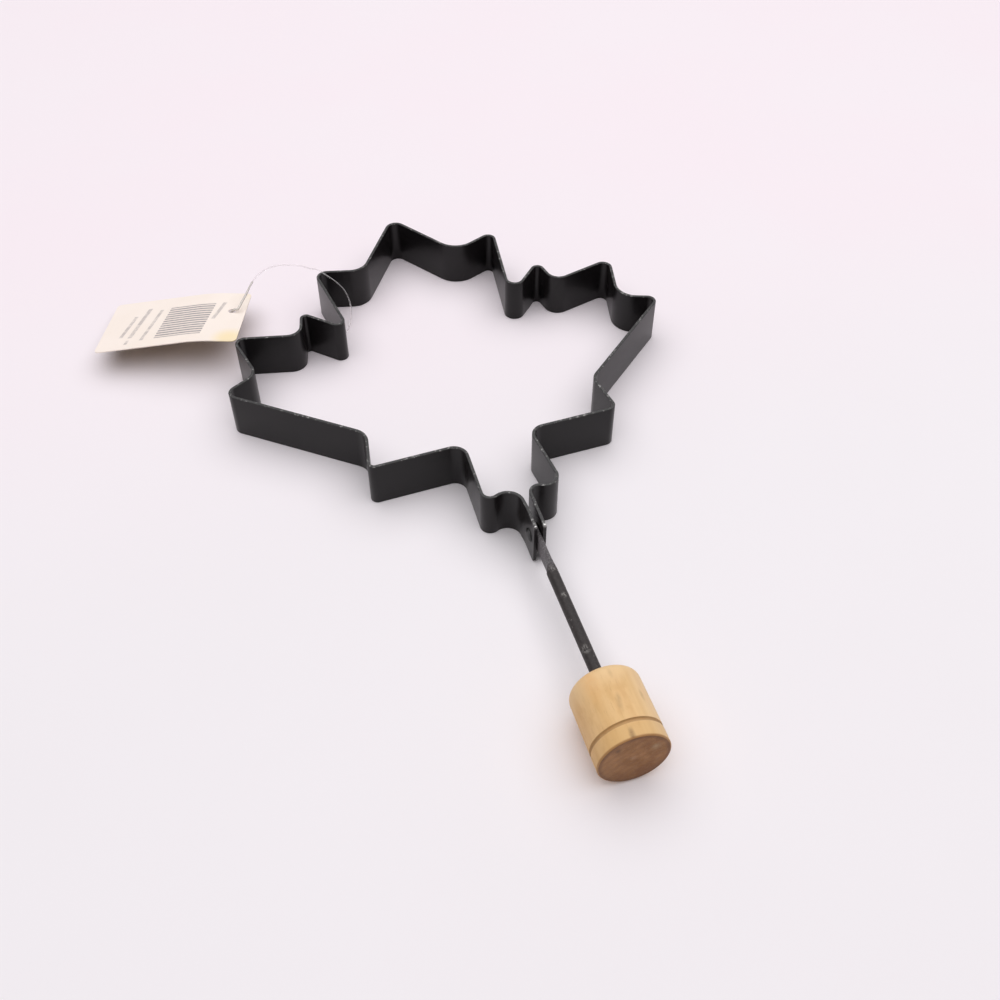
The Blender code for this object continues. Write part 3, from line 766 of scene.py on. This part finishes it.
def side_corners(side, root, corners):
    """One side of the strip from its ear's end to the leaf's tip: points and bend radii."""
    ear = side * (EAR_GAP + STRIP_THICKNESS) / 2
    half = [
        (Vector((ear, -EAR_OVERHANG)), 0.0),
        (Vector((ear, EAR_KINK_DISTANCE)), EAR_KINK_RADIUS),
        (Vector((root[0], root[1])), root[2]),
    ]
    for across, along, radius in corners:
        half.append((leaf_to_stem(side * across, along), radius))
    return half


def strip_corners():
    """The strip's corners from one ear's end round to the other's: point and bend radius."""
    left = side_corners(-1, LEFT_EAR_ROOT, LEFT_CORNERS)
    right = side_corners(1, RIGHT_EAR_ROOT, RIGHT_CORNERS)
    tip = (leaf_to_stem(TIP_CORNER[0], TIP_CORNER[1]), TIP_CORNER[2])
    return left + [tip] + right[::-1]


def bend(before, corner, after, radius):
    """Stations round one bend: the strip's middle, its heading, and its two edges uncut."""
    arriving = (corner - before).normalized()
    leaving = (after - corner).normalized()
    turn = arriving.angle_signed(leaving) * -1
    setback = radius * math.tan(abs(turn) / 2)
    side = math.copysign(1.0, turn)
    start = corner - arriving * setback
    centre = start + Vector((-arriving.y, arriving.x)) * side * radius
    heading = math.atan2(arriving.y, arriving.x)
    steps = max(2, math.ceil(abs(turn) / BEND_STEP))
    stations = []
    for i in range(steps + 1):
        angle = heading + turn * i / steps
        outward = Vector((math.sin(angle), -math.cos(angle))) * side
        stations.append((centre + outward * radius, angle, 0.0, 0.0))
    return stations


def corner_loss(radius, distance):
    """How much of a straight edge a rounded corner takes away at a distance from its side."""
    if distance >= radius:
        return 0.0
    return radius - math.sqrt(radius ** 2 - (radius - distance) ** 2)


def ear_stations(end, heading, sign):
    """Stations over an ear's end, whose low and top corners are rounded."""
    distances = {0.0}
    for radius in (EAR_LOW_CORNER_RADIUS, EAR_TOP_CORNER_RADIUS):
        distances.update(radius * (1 - cosine) for _, cosine in quarter(EAR_CORNER_STEPS))
    forward = Vector((math.cos(heading), math.sin(heading))) * sign
    stations = []
    for distance in sorted(distances):
        low = corner_loss(EAR_LOW_CORNER_RADIUS, distance)
        top = corner_loss(EAR_TOP_CORNER_RADIUS, distance)
        stations.append((end + forward * distance, heading, low, top))
    return stations


def relief_stations(valley, following):
    """Stations over the shallow arch in the lower edge that lets the loop pass."""
    run = (following - valley).normalized()
    heading = math.atan2(run.y, run.x)
    stations = []
    for i in range(RELIEF_STEPS + 1):
        share = i / RELIEF_STEPS
        rise = RELIEF_HEIGHT * math.sin(share * math.pi) ** 2
        stations.append((valley + run * (RELIEF_START + share * RELIEF_LENGTH), heading, rise, 0.0))
    return stations


def strip_stations():
    """Every station along the strip, from one ear's end round the leaf to the other's."""
    corners = strip_corners()
    points = [point for point, _ in corners]
    eased = LEFT_CORNERS[RELIEF_CORNER]
    valley = leaf_to_stem(-eased[0], eased[1])
    stations = ear_stations(points[0], RIGHT_ANGLE, 1.0)
    for i in range(1, len(points) - 1):
        stations.extend(bend(points[i - 1], points[i], points[i + 1], corners[i][1]))
        if points[i] == valley:
            stations.extend(relief_stations(points[i], points[i + 1]))
    stations.extend(reversed(ear_stations(points[-1], -RIGHT_ANGLE, -1.0)))
    return stations


def strip_section(station):
    """The strip's section with rounded edges, clockwise from the lower left."""
    point, heading, rise, drop = station
    side = Vector((-math.sin(heading), math.cos(heading)))
    half = STRIP_THICKNESS / 2 - STRIP_EDGE_RADIUS
    low = rise + STRIP_EDGE_RADIUS
    top = STRIP_HEIGHT - drop - STRIP_EDGE_RADIUS
    ring = []
    for centre_x, centre_z, start in ((-half, low, 270), (-half, top, 180), (half, top, 90), (half, low, 0)):
        for i in range(STRIP_EDGE_STEPS + 1):
            angle = math.radians(start - 90 * i / STRIP_EDGE_STEPS)
            offset = centre_x + STRIP_EDGE_RADIUS * math.cos(angle)
            height = centre_z + STRIP_EDGE_RADIUS * math.sin(angle)
            ring.append((point.x + side.x * offset, point.y + side.y * offset, height))
    return ring


def make_leaf(finish):
    """The bent strip, swept through all its stations."""
    sections = [strip_section(station) for station in strip_stations()]
    return piece("leaf_strip", loft(sections), finish, "ring", "leaf_ring",
                 matrix=Matrix.Translation(STEM))


def make_rivet(finish):
    """A shank through both ears, with a domed head outside each."""
    under_head = EAR_GAP / 2 + STRIP_THICKNESS + RIVET_HEAD_GAP
    dome = []
    for sine, cosine in quarter(RIVET_DOME_STEPS):
        dome.append((under_head + RIVET_HEAD_HEIGHT * cosine, RIVET_HEAD_RADIUS * sine))
    half = dome + [(under_head, RIVET_SHANK_RADIUS)]
    profile = half + [(-distance, radius) for distance, radius in reversed(half)]
    matrix = Matrix.Translation(HINGE) @ Matrix.Rotation(RIGHT_ANGLE, 4, "Z")
    return piece("rivet_pin", turned(profile, RIVET_SIDES), finish, "ring", "rivet",
                 matrix=matrix)


def rounded_section(distance, width, height, radius):
    """A ring of points round the handle at a distance along it: a box with rounded corners."""
    radius = min(radius, width / 2, height / 2)
    ring = []
    for quadrant in range(4):
        across = (width / 2 - radius) * (1, -1, -1, 1)[quadrant]
        above = (height / 2 - radius) * (1, 1, -1, -1)[quadrant]
        for i in range(ROD_CORNER_STEPS):
            angle = RIGHT_ANGLE * (quadrant + (i + 0.5) / ROD_CORNER_STEPS)
            ring.append((across + radius * math.cos(angle), -distance, above + radius * math.sin(angle)))
    return ring


def knob_profile():
    """The knob's outline from its neck to its end: distance along it and radius."""
    profile = []
    for sine, cosine in quarter(KNOB_ROUND_STEPS):
        profile.append((KNOB_NECK_ROUND * (1 - cosine), KNOB_NECK_RADIUS - KNOB_NECK_ROUND * (1 - sine)))
    groove_middle = KNOB_LENGTH - GROOVE_FROM_END
    for i in range(2 * GROOVE_HALF_STEPS + 1):
        place = i / GROOVE_HALF_STEPS - 1
        depth = GROOVE_DEPTH * math.sqrt(1 - place ** 2)
        profile.append((groove_middle + place * GROOVE_WIDTH / 2, KNOB_RADIUS - depth))
    for sine, cosine in quarter(KNOB_END_STEPS):
        distance = KNOB_LENGTH - KNOB_END_ROUND * (1 - sine)
        profile.append((distance, KNOB_RADIUS - KNOB_END_ROUND * (1 - cosine)))
    return profile


def rest_elevation():
    """How far the handle is turned down about its hinge for the knob to touch the surface."""
    lifts = []
    for distance, radius in knob_profile():
        reach = math.hypot(HANDLE_REACH + distance, radius)
        lifts.append(math.atan2(radius, HANDLE_REACH + distance) - math.asin(HINGE.z / reach))
    return max(lifts)


def handle_matrix():
    return Matrix.Translation(HINGE) @ Matrix.Rotation(-rest_elevation(), 4, "X")


def make_rod(finish):
    """The rod: a round eye and a flat blade, a smooth shoulder, and the round bar into the knob."""
    half = BLADE_HEIGHT / 2
    sections = []
    for sine, cosine in quarter(EYE_STEPS)[1:]:
        height = 2 * half * sine
        sections.append(rounded_section(-half * cosine, BLADE_THICKNESS, height, BLADE_CORNER_RADIUS))
    for i in range(SHOULDER_STEPS + 1):
        share = i / SHOULDER_STEPS
        eased = share * share * (3 - 2 * share)
        width = BLADE_THICKNESS + (2 * ROD_RADIUS - BLADE_THICKNESS) * eased
        height = BLADE_HEIGHT + (2 * ROD_RADIUS - BLADE_HEIGHT) * eased
        radius = BLADE_CORNER_RADIUS + (ROD_RADIUS - BLADE_CORNER_RADIUS) * eased
        sections.append(rounded_section(BLADE_LENGTH + SHOULDER_LENGTH * share, width, height, radius))
    end = HANDLE_REACH + TANG_LENGTH
    sections.append(rounded_section(end, 2 * ROD_RADIUS, 2 * ROD_RADIUS, ROD_RADIUS))
    return piece("handle_bar", loft(sections), finish, "handle", "handle_rod",
                 matrix=handle_matrix())


def make_knob(finish):
    """The turned knob with its bore, its long runs cut into shorter rings."""
    bore_radius = ROD_RADIUS + KNOB_BORE_GAP
    bore_depth = TANG_LENGTH + KNOB_BORE_SPARE
    fine = []
    outline = knob_profile()
    for (start, first), (end, last) in zip(outline, outline[1:]):
        steps = max(1, math.ceil((end - start) / KNOB_RING_STEP))
        for i in range(steps):
            fine.append((start + (end - start) * i / steps, first + (last - first) * i / steps))
    fine.append(outline[-1])
    inside = [(bore_depth, 0.0), (bore_depth, bore_radius), (0.0, bore_radius)]
    face = [(KNOB_LENGTH, share * KNOB_RADIUS) for share in KNOB_FACE_RINGS]
    profile = inside + fine + face + [(KNOB_LENGTH, 0.0)]
    outward = [(-HANDLE_REACH - distance, radius) for distance, radius in profile]
    return piece("wood_knob", turned(outward, KNOB_SIDES), finish, "handle", "knob",
                 matrix=handle_matrix())


def card_height(along, across):
    """The card's lower face above the surface."""
    climb = TAG_CLIMB * along
    bent = along - TAG_BEND + TAG_BEND_HALF
    if bent > 2 * TAG_BEND_HALF:
        climb -= (TAG_CLIMB - TAG_END_CLIMB) * (along - TAG_BEND)
    elif bent > 0:
        climb -= (TAG_CLIMB - TAG_END_CLIMB) * bent ** 2 / (4 * TAG_BEND_HALF)
    return TAG_CORNER_HEIGHT + climb + TAG_LEAN * across


def card_point(along, across, lift):
    """A point of the card in the rivet's frame, lifted square to the curled card."""
    step = TAG_THICKNESS
    height = card_height(along, across)
    along_slope = (card_height(along + step, across) - card_height(along - step, across)) / (2 * step)
    normal = Vector((-along_slope, -TAG_LEAN, 1.0)).normalized() * lift
    flat = Matrix.Rotation(TAG_TURN, 2) @ Vector((along + normal.x, across + normal.y))
    return Vector((TAG_CORNER[0] + flat.x, TAG_CORNER[1] + flat.y, height + normal.z))


def tag_hole():
    """The middle of the card's hole, from the rivet's foot."""
    return card_point(TAG_HOLE_ALONG, TAG_HOLE_ACROSS, TAG_THICKNESS / 2)


def card_sheet():
    """The card as a grid with rounded corners, its map in metres from its low near corner."""
    along_steps, across_steps = TAG_STEPS
    insets = [TAG_CORNER_RADIUS * (1 - cosine) for _, cosine in quarter(TAG_CORNER_STEPS)]
    inner = TAG_LENGTH - 2 * TAG_CORNER_RADIUS
    distances = list(insets)
    distances += [TAG_CORNER_RADIUS + inner * i / along_steps for i in range(1, along_steps)]
    distances += [TAG_LENGTH - inset for inset in reversed(insets)]
    shape = bmesh.new()
    chart = shape.loops.layers.uv.new("UVMap")
    flat = {}
    layers = []
    for lift in (0.0, TAG_THICKNESS):
        rows = []
        for along in distances:
            inset = corner_loss(TAG_CORNER_RADIUS, min(along, TAG_LENGTH - along))
            row = []
            for i in range(across_steps + 1):
                across = inset + (TAG_WIDTH - 2 * inset) * i / across_steps
                vertex = shape.verts.new(card_point(along, across, lift))
                flat[vertex] = (along, across)
                row.append(vertex)
            rows.append(row)
        layers.append(rows)
    for rows in layers:
        for row, following in zip(rows, rows[1:]):
            for i in range(across_steps):
                shape.faces.new((row[i], row[i + 1], following[i + 1], following[i]))
    low, top = layers
    last = len(distances) - 1
    around = [(a, 0) for a in range(last + 1)]
    around += [(last, b) for b in range(1, across_steps + 1)]
    around += [(a, across_steps) for a in range(last - 1, -1, -1)]
    around += [(0, b) for b in range(across_steps - 1, 0, -1)]
    for (a, b), (c, d) in zip(around, around[1:] + around[:1]):
        shape.faces.new((low[a][b], low[c][d], top[c][d], top[a][b]))
    for face in shape.faces:
        for corner in face.loops:
            corner[chart].uv = flat[corner.vert]
    return shape


def hole_punch():
    """A plug that stands through the card's hole, only to cut it."""
    reach = 4 * TAG_THICKNESS
    profile = [(-reach, 0.0), (-reach, TAG_HOLE_RADIUS), (reach, TAG_HOLE_RADIUS), (reach, 0.0)]
    shape = turned(profile, TAG_HOLE_SIDES)
    bmesh.ops.recalc_face_normals(shape, faces=shape.faces)
    mesh = bpy.data.meshes.new("card_punch")
    shape.to_mesh(mesh)
    shape.free()
    punch = bpy.data.objects.new("card_punch", mesh)
    bpy.context.scene.collection.objects.link(punch)
    punch.matrix_world = Matrix.Translation(STEM + tag_hole()) @ Matrix.Rotation(RIGHT_ANGLE, 4, "X")
    return punch


def make_card(finish):
    """The curled card with its hole cut through."""
    card = piece("tag_sheet", card_sheet(), finish, "ring", "tag_card",
                 smooth_angle=math.radians(30), matrix=Matrix.Translation(STEM))
    punch = hole_punch()
    hole = card.modifiers.new("punch", "BOOLEAN")
    hole.operation = "DIFFERENCE"
    hole.solver = "EXACT"
    hole.object = punch
    bpy.context.view_layer.update()
    finished = bpy.data.meshes.new_from_object(card.evaluated_get(bpy.context.evaluated_depsgraph_get()))
    card.modifiers.clear()
    card.data = finished
    bpy.data.objects.remove(punch)
    return card


def make_lock(finish):
    """The loop's stout end, which thins from its foot to its tip."""
    path = even_path([Vector(point) for point in LOCK_ROUTE], LOCK_POINTS)
    thinning = LOCK_TIP_RADIUS - LOCK_FOOT_RADIUS
    radii = [LOCK_FOOT_RADIUS + thinning * i / (LOCK_POINTS - 1) for i in range(LOCK_POINTS)]
    return strand("tag_barrel", path, radii, finish, "tag_lock")


def loop_knots():
    """The loop's route, which starts and ends just clear of the lock's two ends."""
    lock = [Vector(point) for point in LOCK_ROUTE]
    out = lock[-1] + (lock[-1] - lock[-2]).normalized() * LOOP_END_GAP
    back = lock[0] + (lock[0] - lock[1]).normalized() * LOOP_END_GAP
    return [out] + [Vector(point) for point in LOOP_ROUTE] + [back]


def smooth_point(knots, i, share):
    """A point on the smooth curve through the knots, a share of the way from knot i to the next."""
    before = knots[max(i - 1, 0)]
    start = knots[i]
    end = knots[i + 1]
    after = knots[min(i + 2, len(knots) - 1)]
    leaving = (end - before) / 2
    arriving = (after - start) / 2
    cube = share ** 3
    square = share ** 2
    return (
        start * (2 * cube - 3 * square + 1)
        + leaving * (cube - 2 * square + share)
        + end * (3 * square - 2 * cube)
        + arriving * (cube - square)
    )


def even_path(knots, count):
    """Evenly spaced points along the smooth curve through the knots."""
    fine = [knots[0]]
    for i in range(len(knots) - 1):
        fine += [smooth_point(knots, i, step / SPAN_STEPS) for step in range(1, SPAN_STEPS + 1)]
    lengths = [0.0]
    for start, end in zip(fine, fine[1:]):
        lengths.append(lengths[-1] + (end - start).length)
    path = []
    run = 0
    for i in range(count):
        target = lengths[-1] * i / (count - 1)
        while run < len(fine) - 2 and lengths[run + 1] < target:
            run += 1
        share = (target - lengths[run]) / (lengths[run + 1] - lengths[run])
        path.append(fine[run].lerp(fine[run + 1], share))
    return path


def strand(name, path, radii, finish, node):
    """A round strand along the path, given from the rivet, with a radius at every point."""
    line = bpy.data.curves.new(name, "CURVE")
    line.dimensions = "3D"
    line.bevel_depth = 1.0
    line.bevel_resolution = STRAND_RESOLUTION
    line.use_fill_caps = True
    run = line.splines.new("POLY")
    run.points.add(len(path) - 1)
    for place, point, radius in zip(run.points, path, radii):
        place.co = (*(STEM + point), 1.0)
        place.radius = radius
    line.materials.append(finish)
    made = bpy.data.objects.new(name, line)
    bpy.context.scene.collection.objects.link(made)
    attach(made, "ring")
    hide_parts(node)
    return made


def make_loop(finish):
    """The thin nylon line, from one end of the lock round to the other."""
    path = even_path(loop_knots(), LOOP_POINTS)
    loop = strand("tag_line", path, [LOOP_RADIUS] * LOOP_POINTS, finish, "tag_loop")
    return loop


def seen_from_camera(across, along, up):
    """A point given from the rivet's foot across, along and above the view."""
    return STEM + Matrix.Rotation(VIEW_HEADING, 3, "Z") @ Vector((across, along, up))


def make_camera():
    """The camera at the photograph's angle."""
    lens = bpy.data.cameras.new("camera")
    lens.lens = CAMERA_LENS
    lens.sensor_width = CAMERA_SENSOR
    lens.sensor_fit = "HORIZONTAL"
    lens.clip_start = CAMERA_NEAREST
    camera = bpy.data.objects.new("camera", lens)
    bpy.context.scene.collection.objects.link(camera)
    camera.location = STEM + Vector(CAMERA_PLACE)
    camera.rotation_euler = (RIGHT_ANGLE - VIEW_PITCH, 0.0, VIEW_HEADING)
    bpy.context.scene.camera = camera


def make_softbox():
    """One round softbox facing straight down."""
    light = bpy.data.lights.new("softbox", "AREA")
    light.shape = "DISK"
    light.size = LAMP_ACROSS
    light.energy = LAMP_POWER
    lamp = bpy.data.objects.new("softbox", light)
    bpy.context.scene.collection.objects.link(lamp)
    lamp.location = seen_from_camera(*LAMP_PLACE)


def make_room():
    """Faint light from all round, with a pale tone wherever the room itself is seen or mirrored."""
    world = bpy.data.worlds.new("room")
    world.use_nodes = True
    room = world.node_tree
    rays = room.nodes.new("ShaderNodeLightPath")
    seen = rays.outputs["Is Camera Ray"]
    for kind in ("Is Glossy Ray", "Is Transmission Ray"):
        either = room.nodes.new("ShaderNodeMath")
        either.operation = "MAXIMUM"
        room.links.new(seen, either.inputs[0])
        room.links.new(rays.outputs[kind], either.inputs[1])
        seen = either.outputs[0]
    strength = room.nodes.new("ShaderNodeMath")
    strength.operation = "MULTIPLY_ADD"
    room.links.new(seen, strength.inputs[0])
    strength.inputs[1].default_value = ROOM_TONE - ROOM_LIGHT
    strength.inputs[2].default_value = ROOM_LIGHT
    background = room.nodes["Background"]
    background.inputs["Color"].default_value = (1.0, 1.0, 1.0, 1.0)
    room.links.new(strength.outputs[0], background.inputs["Strength"])
    bpy.context.scene.world = world


def make_stage(finish):
    """The floor under the object, the softbox and the room."""
    mesh = bpy.data.meshes.new("floor")
    reach = FLOOR_REACH
    corners = [(-reach, -reach, 0.0), (reach, -reach, 0.0), (reach, reach, 0.0), (-reach, reach, 0.0)]
    mesh.from_pydata(corners, [], [(0, 1, 2, 3)])
    mesh.materials.append(finish)
    floor = bpy.data.objects.new("floor", mesh)
    bpy.context.scene.collection.objects.link(floor)
    floor.location = (0.0, 0.0, -FLOOR_DROP)
    make_softbox()
    make_room()
    bpy.context.scene.view_settings.view_transform = "Standard"


def main():
    make_camera()
    card = make_card(tag_card())
    # The last tone is painted round the card's hole: lighter on the lock as painted light, greyer on the
    # loop as painted shade.
    lock = make_lock(nylon("lock_nylon_look", 0.40, (0.80, 0.75, 0.72), (0.88, 0.83, 0.78)))
    make_loop(nylon("loop_nylon_look", 0.90, (0.97, 0.94, 0.95), (0.80, 0.75, 0.73)))
    make_leaf(coated_steel())
    make_rivet(rivet_steel())
    make_rod(rod_steel())
    make_knob(turned_wood())
    make_stage(floor_paper())


main()
